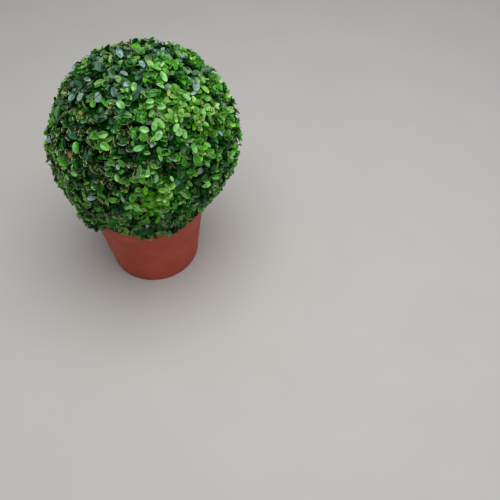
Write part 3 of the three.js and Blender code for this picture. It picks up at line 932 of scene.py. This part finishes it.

# %% [markdown]
# ## Leaves that catch the eye
# Some leaves stand out on this ball: fresh ones among old ones, old and fresh ones with a painted
# reflection of the sky, and a few dead ones. Chance would put them anywhere, so they are placed one by
# one. Each has the picture place of its middle, the turn of its tip as the camera sees it (0 is to the
# right and 90 is down), its length in mm and its width in hundredths of that, and it stands under its
# finish.

# %% Leaves placed one by one
EYE_CATCHERS = {
    "light": [
        (103, 134.5, 350, 13, 85), (98, 147, 50, 11, 60), (105, 146.5, 30, 14, 75),
        (76.5, 147.5, 265, 17, 70), (143.5, 137, 100, 13, 80), (117, 177.5, 250, 12, 62),
        (142, 179.5, 80, 12, 75), (154, 166.5, 15, 10, 65), (107, 53, 320, 12, 55), (110, 102, 30, 8, 80),
        (145, 80, 270, 11, 70), (180, 92, 0, 13, 60), (149.5, 106.5, 340, 11, 60), (113, 200, 20, 13, 70),
        (107, 203, 110, 13, 50), (84.5, 196, 260, 11, 60), (86.5, 203.5, 40, 8, 70),
        (170, 118, 110, 11, 60), (184.5, 134, 80, 13, 50),
    ],
    "bloomed": [
        (58, 153.5, 130, 10, 70), (144, 129.5, 10, 13, 72), (154.5, 126, 280, 15, 65),
        (158.5, 135.5, 300, 15, 68), (138.5, 148.3, 165, 16, 50), (148, 172.5, 90, 10, 60),
        (134, 86.5, 100, 12, 80), (120.5, 104.5, 40, 14, 70), (163.5, 76.5, 70, 18, 52),
        (160.5, 86, 10, 12, 62), (186, 97, 30, 14, 72), (178.5, 55, 10, 13, 50),
        (161.5, 107, 350, 12, 65), (150, 101.5, 350, 11, 70), (136.5, 208.5, 60, 10, 85),
        (131, 206.5, 80, 9, 75), (127.5, 208, 100, 8, 80), (81, 202, 190, 13, 70), (97, 209, 150, 10, 75),
        (74, 174, 40, 10, 60), (67.5, 177, 100, 10, 65), (72.5, 167, 290, 7, 60),
        (176, 127.5, 300, 13, 60), (179, 132, 100, 12, 80), (203.5, 113, 260, 12, 55),
        (194, 148.5, 60, 14, 70), (206.5, 185.5, 355, 15, 45), (172, 178.5, 60, 9, 50),
        (187.5, 187.5, 30, 7, 70),
    ],
    "lime": [
        (93, 104, 90, 10, 85), (88, 101, 210, 8, 75), (75, 112.5, 80, 8, 60), (80, 117.5, 350, 9, 75),
        (133, 143.5, 90, 8, 70), (145.8, 190.5, 85, 12, 62), (144.5, 195.5, 50, 10, 70),
        (149.5, 198.5, 20, 10, 65), (146.5, 204.5, 30, 11, 70), (175, 88, 270, 11, 60),
        (160, 203, 30, 13, 65), (151.5, 206, 190, 10, 70), (163.5, 209.5, 30, 9, 60),
        (157.5, 210, 180, 9, 55), (157.5, 219, 110, 13, 55), (152, 213, 80, 9, 60),
        (86.5, 183.5, 340, 9, 50), (172, 121, 20, 11, 65), (222.5, 126.5, 60, 11, 60),
    ],
    "mid": [
        (94.5, 135.5, 185, 17, 62), (53, 113, 252, 21, 30), (62.5, 145, 100, 15, 60),
        (47, 148.5, 160, 12, 50), (52.5, 150.5, 10, 12, 60), (62.5, 161, 60, 16, 70),
        (133.5, 135, 270, 14, 52), (147, 153, 180, 9, 55), (117, 157, 190, 11, 35),
        (122, 163.5, 60, 13, 50), (121.5, 172, 320, 9, 60), (122, 181.5, 20, 12, 55),
        (139.5, 170.5, 275, 16, 40), (138.5, 190, 200, 10, 70), (175.5, 66, 90, 12, 55),
        (175, 206, 100, 12, 60), (170, 236, 60, 15, 60), (120, 228.5, 100, 11, 50),
        (97, 218.5, 10, 14, 50), (69, 171, 190, 7, 60), (84, 174, 100, 10, 40), (184, 162.5, 80, 14, 60),
        (197, 160, 70, 18, 60), (212, 155, 20, 13, 60), (213, 134, 100, 13, 80), (212, 197, 200, 13, 50),
    ],
    "deep": [
        (58, 112, 275, 21, 50), (117, 126.5, 160, 13, 55), (148.5, 58, 100, 15, 75),
        (134.5, 237, 90, 11, 50),
    ],
    "blue": [
        (73, 136, 210, 16, 55), (119, 97.5, 60, 11, 70), (60, 103, 200, 15, 50), (78.5, 83.5, 40, 11, 60),
        (130, 60.5, 80, 12, 60), (112, 74.5, 60, 13, 70), (156.5, 56, 330, 10, 60),
        (96.5, 187, 90, 8, 80),
    ],
    "waxy": [
        (49, 139, 210, 20, 50), (80.5, 97, 120, 13, 65), (72, 97.5, 145, 11, 70), (98, 96.5, 100, 12, 80),
        (114, 92, 80, 13, 75), (118, 167, 240, 8, 70), (98, 66, 100, 14, 75), (87.5, 79.5, 20, 12, 55),
        (74, 67.5, 70, 12, 65), (85.5, 57, 20, 11, 60), (119.5, 53, 70, 15, 68), (124, 73.5, 20, 11, 60),
        (127.5, 84.5, 160, 11, 75), (142, 64.5, 250, 14, 60), (168.5, 86, 0, 10, 65),
        (196, 86.5, 100, 14, 72), (194, 93, 150, 10, 60), (200, 78, 20, 9, 65), (123, 199, 80, 12, 50),
        (130.5, 217, 80, 8, 55), (147.5, 226, 60, 9, 60), (92, 198, 170, 14, 50), (66, 186.5, 90, 9, 50),
        (200, 171.5, 85, 13, 62), (224, 184, 110, 9, 80),
    ],
    "yellowed": [
        (111, 57, 100, 7, 70), (116, 77.5, 20, 7, 70), (168.5, 92.5, 100, 11, 50),
    ],
    "dead": [
        (80.5, 112.5, 60, 7, 70), (70.5, 155, 70, 9, 80), (84, 105, 80, 10, 40),
        (201.5, 103, 100, 10, 60), (106, 215, 80, 9, 40), (195.5, 151.5, 60, 7, 80),
    ],
}
FACING = (0.6, 0.25, 0.05)  # how much such a leaf faces outwards, towards the camera and up
PROUD = 0.5 * MM
STALK_DEPTH = 6 * MM  # how far below such a leaf the nearest shoot is sought
IN_FRONT = 30 * MM  # how far in front of it leaves are left out
BESIDE = 0.42  # and how far beside its middle, as a share of its length
SPARE = 1 * MM
GIVEN_SPREAD = 0.17
WIDTH_VARIETY = (0.86, 1.1)

table = np.array([row for rows in EYE_CATCHERS.values() for row in rows], float)
places, turn, lengths = table[:, :2], np.radians(table[:, 2:3]), table[:, 3] * MM
towards = seen_towards(places)
middles = CROWN_CENTRE + towards * (crown_reach(towards) + PROUD)[:, None]
to_camera = unit(CAMERA_PLACE - middles)
face = FACING[0] * towards + FACING[1] * to_camera + FACING[2] * UP
face = unit(face + draw.normal(0, GIVEN_SPREAD, towards.shape))
ahead = np.cos(turn) * PICTURE_RIGHT + np.sin(turn) * PICTURE_DOWN
ahead = unit(ahead - face * (ahead * face).sum(1, keepdims=True))
placed = {
    "root": middles - ahead * lengths[:, None] / 2, "ahead": ahead, "face": face, "length": lengths,
    "width": table[:, 4] / 100, "given": np.arange(len(table)), "share": np.ones(len(table)),
    "cut": np.zeros(len(table), bool), "lime": np.zeros(len(table), bool),
    **{name: np.zeros(len(table)) for name in ("fresh", "dryness", "wax_and_sheen")},
}
leaf["width"] = LEAF_WIDTH * draw.uniform(*WIDTH_VARIETY, len(leaf["root"]))
leaf["given"] = np.full(len(leaf["root"]), -1)
hiding = np.zeros(len(leaf["root"]), bool)
for middle, sight, length in zip(middles, to_camera, lengths):
    away = leaf["root"] + leaf["ahead"] * leaf["length"][:, None] / 2 - middle
    in_front = away @ sight
    beside = np.linalg.norm(away - in_front[:, None] * sight, axis=1)
    near = (in_front > -SPARE) & (in_front < IN_FRONT)
    hiding |= near & (beside < BESIDE * length + SPARE)
leaf = kept_leaves(leaf, ~hiding)
leaf = {name: np.concatenate([values, placed[name]]) for name, values in leaf.items()}
print(int(hiding.sum()), "leaves in front of them left out")

starts = nearest_points(placed["root"] - towards * STALK_DEPTH, shoot_lines)
enter_limbs("leaf_stalks", bowed(starts, placed["root"], towards), green_stem)

# %% [markdown]
# Now each leaf gets its blade. The rows run from the stalk to the tip, and each row has five points
# from edge to edge, with the midrib in the middle. The midrib's point comes twice, once for each half,
# so that the fold stays crisp while each half is shaded smoothly. The outer strips rise more steeply
# than the inner ones, and that cups the leaf.

# %% Make the blades
ROWS = np.array([0.0, 0.11, 0.34, 0.64, 0.87, 1.0])
ROW_WIDTHS = np.array([0.11, 0.58, 0.95, 0.99, 0.72, 0.27])
INNER = 0.55  # share of the half width at which the blade turns up more
FOLD = (0.06, 0.34)  # radians that the inner strips rise
CUP = (0.05, 0.5)  # and how much more the outer ones do
DRY_CURL = 0.6
BEND = (0.0, 0.32)  # share of its length that the tip is bent back
SHORTENED = 0.15  # how much of that the leaf gets shorter

leaves = len(leaf["root"])
t = ROWS[None] * leaf["share"][:, None]
widths = leaf["width"] * leaf["length"] / 2
half = np.interp(t, ROWS, ROW_WIDTHS) * widths[:, None]
fold = draw.uniform(*FOLD, leaves)[:, None]
cup = fold + (draw.uniform(*CUP, leaves) + DRY_CURL * leaf["dryness"] * draw.random(leaves))[:, None]
bend = draw.uniform(*BEND, leaves)[:, None]
sideways = np.cross(leaf["ahead"], leaf["face"])[:, None]
facing, going = leaf["face"][:, None], leaf["ahead"][:, None]
far = leaf["length"][:, None]
middle = (leaf["root"][:, None] + going * (far * (t - SHORTENED * bend * t ** 2))[..., None]
          - facing * (far * bend * t ** 2)[..., None])
inner_out, outer_out = half * INNER * np.cos(fold), half * (1 - INNER) * np.cos(cup)
inner_up, outer_up = half * INNER * np.sin(fold), half * (1 - INNER) * np.sin(cup)


def moved(out, up):
    """The midrib's points moved sideways and up."""
    return middle + sideways * out[..., None] + facing * up[..., None]


full_out, full_up = inner_out + outer_out, inner_up + outer_up
blades = np.stack([moved(-full_out, full_up), moved(-inner_out, inner_up), middle,
                   middle, moved(inner_out, inner_up), moved(full_out, full_up)], 2)
COLUMNS = blades.shape[2]
touching = ~clear_of_pot(blades.reshape(-1, 3)).reshape(leaves, -1).all(1)
blades, leaf = blades[~touching], kept_leaves(leaf, ~touching)
leaves = len(blades)
print(int(touching.sum()), "leaves left out at the pot,", leaves, "kept")

# %% [markdown]
# ## Leaf finishes
# A box leaf is leathery, with a thin wax on top that gives a soft bluish shine under an open sky. The
# greens run from old to fresh; some old leaves are painted bluer and some fresh ones a pale mint, both a
# painted reflection of the sky. Leaves past their best turn straw-yellow and then tan. Each green has a
# darker and a lighter tone: a blade is a little mottled, and it gets painted shade at its foot and midrib
# and a painted highlight towards its tip and edges. Where on the blade a point lies is kept in an
# attribute of the mesh, which every leaf shares.

# %% Leaf finishes from old to fresh
MOTTLE_SHARE = 0.5  # how much of a leaf's tone is mottling, and the rest painted shade and highlight by its place on the leaf
ALONG_SHARE = 0.75  # how much of that place counts along the leaf, and the rest across it
ACROSS = np.array([1.0, 0.55, 0.0, 0.0, 0.55, 1.0])
LEAF_CLOUDS = 6 * MM
LEAF_SHINE = 9 * MM
SHINE_CHANGES = (-0.08, 0.1)
WAX_ROUGHNESS = 0.18

# Each point of a blade gets painted shade at the foot and midrib and painted highlight towards the tip
# and edges.
painted_blade_shading = (1 - MOTTLE_SHARE) * (ALONG_SHARE * ROWS[:, None] + (1 - ALONG_SHARE) * ACROSS)
print("tone from", painted_blade_shading.min(), "to", painted_blade_shading.max())


def leaf_finish(name, dark, light, roughness, wax_and_sheen):
    """A leathery leaf: mottled, with painted shade at its foot and midrib, painted highlight towards its
    tip and edges, and a thin wax coat that shines softly.
    """
    material, tree, shader = new_finish(name, IOR=1.45, Specular_IOR_Level=0.3,
                                        Coat_Weight=wax_and_sheen, Coat_Roughness=WAX_ROUGHNESS)
    clouds = wandering(tree, LEAF_CLOUDS, (0.38, 0.62), detail=3)
    place = add_node(tree, "ShaderNodeAttribute", attribute_name="painted_blade_shading").outputs["Fac"]
    share = {0: clouds, 1: MOTTLE_SHARE, 2: place}
    share = add_node(tree, "ShaderNodeMath", share, operation="MULTIPLY_ADD").outputs[0]
    tones = {SHARE: share, FIRST_TONE: linear(dark), SECOND_TONE: linear(light)}
    mixed = add_node(tree, "ShaderNodeMix", tones, data_type="RGBA").outputs[MIXED]
    tree.links.new(mixed, shader.inputs["Base Color"])
    between = [roughness + change for change in SHINE_CHANGES]
    shine = wandering(tree, LEAF_SHINE, (0.3, 0.7), between)
    tree.links.new(shine, shader.inputs["Roughness"])
    return material


LEAF_KINDS = [  # name, freshness below which it is used, dark and light tone, roughness, wax
    ("leaf_black_green", 0.12, "#041E03", "#104E09", 0.26, 0.14),
    ("leaf_deep_green", 0.36, "#083404", "#1F7410", 0.26, 0.20),
    ("leaf_mid_green", 0.62, "#124E06", "#48A622", 0.26, 0.38),
    ("leaf_light_green", 0.92, "#1A6604", "#64BE2C", 0.26, 0.52),
    ("leaf_fresh_green", 9.0, "#3A8210", "#A8E46C", 0.26, 0.56),
    ("leaf_lime_green", None, "#1A5E02", "#5CA80E", 0.36, 0.15),
    # The blue green is an old leaf's green with a painted bluish reflection of the sky; the sky-sheen
    # blue and the sheened green are painted reflections of the sky on old and on fresh leaves.
    ("leaf_blue_green", None, "#10341E", "#427C5A", 0.34, 0.35),
    ("leaf_waxy_blue", None, "#1A4636", "#98BEB4", 0.30, 0.50),
    ("leaf_bloomed_green", None, "#2C7E1A", "#9AE284", 0.28, 0.50),
    ("leaf_yellowed", None, "#5E7430", "#A6B262", 0.50, 0.10),
    ("leaf_dead", None, "#6C5432", "#B49A68", 0.70, 0.0),
]
SKY_SHEEN_BLUE_SHARE = 0.15
LIME_ABOVE = 0.75
YELLOWED_FROM = 0.998  # of a chance between 0 and 1
DEAD_FROM = 0.996
MORE_DEAD_WHERE_DRY = 0.006

names = [row[0] for row in LEAF_KINDS]
number_of = {name.split("_")[1]: k for k, name in enumerate(names)}
kind = np.searchsorted([row[1] for row in LEAF_KINDS if row[1]], leaf["fresh"])
chance = draw.random(leaves)
# Where the sky's reflection is painted, old leaves get the blue green and a few of them the sky-sheen
# blue.
kind[(kind < number_of["mid"]) & (chance < leaf["wax_and_sheen"])] = number_of["blue"]
kind[(kind < number_of["light"]) & (chance < SKY_SHEEN_BLUE_SHARE * leaf["wax_and_sheen"])] = number_of["waxy"]
kind[leaf["lime"] & (leaf["fresh"] > LIME_ABOVE)] = number_of["lime"]
kind[chance > YELLOWED_FROM] = number_of["yellowed"]
dead = (chance < YELLOWED_FROM) & (chance > DEAD_FROM - MORE_DEAD_WHERE_DRY * leaf["dryness"])
kind[dead] = number_of["dead"]
given_kinds = np.array([number_of[finish] for finish, rows in EYE_CATCHERS.items() for _ in rows])
kind[leaf["given"] >= 0] = given_kinds[leaf["given"][leaf["given"] >= 0]]
finishes = [leaf_finish(name, dark, light, rough, wax_and_sheen) for name, _, dark, light, rough, wax_and_sheen in LEAF_KINDS]
print({name: int((kind == k).sum()) for k, name in enumerate(names)})

# %% [markdown]
# Twenty thousand leaves would be slow to draw and to export as objects. They could be instances of one
# leaf, but each is folded, bent and cut in its own way. So all the leaves of a finish are joined into
# one mesh, or into a few where a single one would be too heavy.

# %% Join the leaves, each kind apart
MOST_FACES = 95000  # a piece of this many quads stays under 200,000 triangles


def grid_faces(rows, columns, gap=None):
    """The quads between the points of a grid, leaving out one column where gap says so."""
    corner = np.arange(rows * columns).reshape(rows, columns)
    cells = np.stack([corner[:-1, :-1], corner[:-1, 1:], corner[1:, 1:], corner[1:, :-1]], -1)
    return np.delete(cells, gap, 1).reshape(-1, 4) if gap is not None else cells.reshape(-1, 4)


def grid_pieces(name, grids, gap, material, tones=None):
    """Joins many small grids of points, (count, rows, columns, 3), into pieces fit for export."""
    count, rows, columns, _ = grids.shape
    cells = grid_faces(rows, columns, gap)
    parts = np.array_split(grids, max(1, math.ceil(count * len(cells) / MOST_FACES)))
    for number, part in enumerate(parts):
        faces = cells[None] + (np.arange(len(part)) * rows * columns)[:, None, None]
        piece = joined_mesh(f"{name}_{number + 1}", part.reshape(-1, 3), faces.reshape(-1, 4))
        # Where given, tones are the painted shade and highlight of each point of a grid.
        if tones is not None:
            layer = piece.data.attributes.new("painted_blade_shading", "FLOAT", "POINT")
            layer.data.foreach_set("value", np.tile(tones.ravel(), len(part)).astype(np.float32))
        enter(piece, "crown", material)


MIDRIB_GAP = 2  # the column between the midrib's two points
for k, name in enumerate(names):
    grid_pieces(name, blades[kind == k], MIDRIB_GAP, finishes[k], painted_blade_shading)

# %% [markdown]
# ## Edges and tips
# On fresh leaves a thin light line runs along the margin: partly the margin's own paler green, and partly
# painted highlight of the light that the thin edge catches and lets through. Where the shears cut a leaf,
# the cut dries to a tan line, and old leaves in the weathered patches have dry margins as well. All of
# these are narrow strips that lie on the blade's edge.

# %% Strips along edges and cuts
ONE_MIDRIB = [0, 1, 2, 4, 5]  # the columns of a blade with the midrib's point only once
RAISED = 0.12 * MM
LAPPED = 0.2  # share of its width that a strip laps over the edge
CUT_WIDTH = 0.3 * MM
DRY_ANYWHERE = 0.02  # share of the leaves with dry margins
DRY_IN_PATCHES = 0.42  # and how much that grows with the dryness
ONE_SIDED = 0.3  # share of those that are dry on the right only, and on the left only
DRY_WIDTHS = (0.15, 0.42)  # mm
PALE_SHARE = 0.5
PALE_WIDTH = 0.4 * MM
EDGE_CLOUDS = 4 * MM


def edge_strips(chosen, side, width):
    """Strips of a width along one side of the chosen leaves, as grids of points."""
    rim = blades[chosen, :, side]
    inner = blades[chosen, :, 1 if side == 0 else COLUMNS - 2]
    lift = leaf["face"][chosen][:, None] * RAISED
    inward = unit(inner - rim) * np.asarray(width)[..., None, None]
    pair = [rim - inward * LAPPED + lift, rim + inward + lift]
    return np.stack(pair if side == 0 else pair[::-1], 2)


# Dried leaf tissue has lost its green and its wax, and is straw to tan and matt.
dry_edge, tree, shader = new_finish("dry_leaf_edge", IOR=1.45, Roughness=0.7)
mottle(tree, shader, "#948A52", "#DCD6B2", EDGE_CLOUDS)
# A living margin is thin and paler than the blade, and its colour also holds painted highlight of the
# light that it catches and lets through.
margin_highlight, tree, shader = new_finish("pale_margin_highlight", IOR=1.45, Roughness=0.45)
mottle(tree, shader, "#74AC48", "#B9DC90", EDGE_CLOUDS)

cut_leaves = np.flatnonzero(leaf["share"] < 1)
ends = blades[cut_leaves, -1][:, ONE_MIDRIB]
out = leaf["ahead"][cut_leaves][:, None] * CUT_WIDTH
raised = leaf["face"][cut_leaves][:, None] * RAISED
cuts = np.stack([ends + out + raised, ends - out + raised], 1)
grid_pieces("cut_leaf_ends", cuts, None, dry_edge)

roll = draw.random(leaves)
dry_leaves = np.flatnonzero(roll < DRY_ANYWHERE + DRY_IN_PATCHES * leaf["dryness"])
sides = draw.random(len(dry_leaves))
widths = draw.uniform(*DRY_WIDTHS, len(dry_leaves)) * MM
left, right = sides < 1 - ONE_SIDED, sides > ONE_SIDED
strips = [edge_strips(dry_leaves[left], 0, widths[left]),
          edge_strips(dry_leaves[right], COLUMNS - 1, widths[right])]
grid_pieces("dry_leaf_margins", np.concatenate(strips), None, dry_edge)

greens_with_margins = (kind >= number_of["mid"]) & (kind <= number_of["fresh"])
leaves_with_highlighted_margins = np.flatnonzero(greens_with_margins & (roll > PALE_SHARE))
strips = [edge_strips(leaves_with_highlighted_margins, side, PALE_WIDTH) for side in (0, COLUMNS - 1)]
grid_pieces("pale_margin_highlights", np.concatenate(strips), None, margin_highlight)

# %% [markdown]
# A few thin twigs lie across the surface: young ones that bent over and grew on, and dead ones. Each
# has three places in the picture that its middle line passes over or close by.

# %% Stray twigs
STRAY_TWIGS = [
    ((56, 124), (62, 117.5), (70, 111)),
    ((191, 108.5), (196, 112), (200.5, 115.5)),
    ((99, 168.5), (104, 172.5), (108.5, 176)),
    ((90, 166), (93, 171), (98, 174)),
    ((148.5, 175), (148, 180), (147.5, 185)),
    ((170, 162.5), (173, 165.5), (176, 169.5)),
    ((200.5, 116), (200, 127), (199, 138)),
    ((134, 47), (137, 50.5), (139.5, 53)),
    ((104, 64), (101.5, 62), (105, 60)),
    ((127, 122), (128, 126), (130, 130)),
]
YOUNG = 2  # how many of them, from the first, are young
YOUNG_STOUTNESS = 1.7
STRAY_RINGS = 7
STRAY_FOOT = -1.5  # mm outside the clipped surface
STRAY_RISE = 4  # mm
FADED_STRETCH = 6 * MM
STRAY_ARCH = (0.05, 0.8)  # the stretch of a half wave that its height follows

# A dead twig fades from green to a dull olive tan, with no shine.
dry_wood, tree, shader = new_finish("dry_box_twig", IOR=1.45, Roughness=0.8)
mottle(tree, shader, "#575029", "#938A55", FADED_STRETCH)

over = seen_towards(np.array(STRAY_TWIGS).reshape(-1, 2)).reshape(-1, 3, 3)
t = np.linspace(0, 1, STRAY_RINGS)[None, :, None]
course = unit(curved(over[:, :1], over[:, 1:2], over[:, 2:], t))
lift = (STRAY_FOOT + STRAY_RISE * np.sin(np.pi * np.linspace(*STRAY_ARCH, STRAY_RINGS))) * MM
stray_reach = crown_reach(course.reshape(-1, 3)).reshape(course.shape[:2]) + lift
stray_lines = CROWN_CENTRE + course * stray_reach[..., None]
enter_limbs("young_stray_twigs", stray_lines[:YOUNG], green_stem, YOUNG_STOUTNESS)
enter_limbs("dead_stray_twigs", stray_lines[YOUNG:], dry_wood)

# %% [markdown]
# A shoot that was clipped short often dries back at its tip. A tan stub stays there, one of the warm
# specks between the greens.

# %% Dried shoot tips
STUB_LENGTH = 4 * MM
STUB_OVERLAP = 2 * MM
STUB_PROUD = 1 * MM
STUB_SHARE = 0.4
stubbed = np.flatnonzero(~regrown & (draw.random(shoots) < STUB_SHARE))
stub_ends = shoot_tips[stubbed] + shoot_axis[stubbed] * STUB_LENGTH
inside = (outside_by(stub_ends) < STUB_PROUD) & clear_of_pot(stub_ends)
stubbed, stub_ends = stubbed[inside], stub_ends[inside]
stub_starts = shoot_tips[stubbed] - shoot_axis[stubbed] * STUB_OVERLAP
stub_lines = bowed(stub_starts, stub_ends, shoot_axis[stubbed], rings=3)
enter_limbs("clipped_shoot_stubs", stub_lines, dry_wood)
print(len(stubbed), "dry stubs")

# %% [markdown]
# ## Floor and light
# The plant stands on a plain pale floor under a large soft light from above, like a bright grey sky.
# The world adds an even grey fill, so that the shaded sides aren't black.

# %% Floor, sky and light
FLOOR_SIZE = 14
SKY_STRENGTH = 0.31
SOFTBOX_PLACE = (0.3, -0.22, 1.85)
SOFTBOX_TILT = math.radians(11)
SOFTBOX_ACROSS = 2.0
SOFTBOX_WATTS = 36
ROLLER_CLOUDS = 150 * MM

bpy.ops.object.select_all(action="DESELECT")
bpy.ops.mesh.primitive_plane_add(size=FLOOR_SIZE, location=(0, 0, 0))
floor = bpy.context.object
floor.name = "studio_floor"
# Matt paint is even, and only faintly cloudy where the roller overlapped.
paint, tree, shader = new_finish("matt_floor_paint", Roughness=0.95)
mottle(tree, shader, "#C1BFBC", "#C3C1BE", ROLLER_CLOUDS)
floor.data.materials.append(paint)

world = bpy.data.worlds.new("grey_sky")
world.use_nodes = True
sky = world.node_tree.nodes["Background"]
sky.inputs["Color"].default_value = linear("#DDDFE2")
sky.inputs["Strength"].default_value = SKY_STRENGTH
bpy.context.scene.world = world

bpy.ops.object.light_add(type="AREA", location=SOFTBOX_PLACE, rotation=(SOFTBOX_TILT, SOFTBOX_TILT, 0))
softbox = bpy.context.object
softbox.data.shape = "DISK"
softbox.data.size = SOFTBOX_ACROSS
softbox.data.energy = SOFTBOX_WATTS
softbox.data.color = linear("#FBFAF8")[:3]
bpy.context.scene.view_settings.view_transform = "Standard"
print("floor, sky and softbox in place")
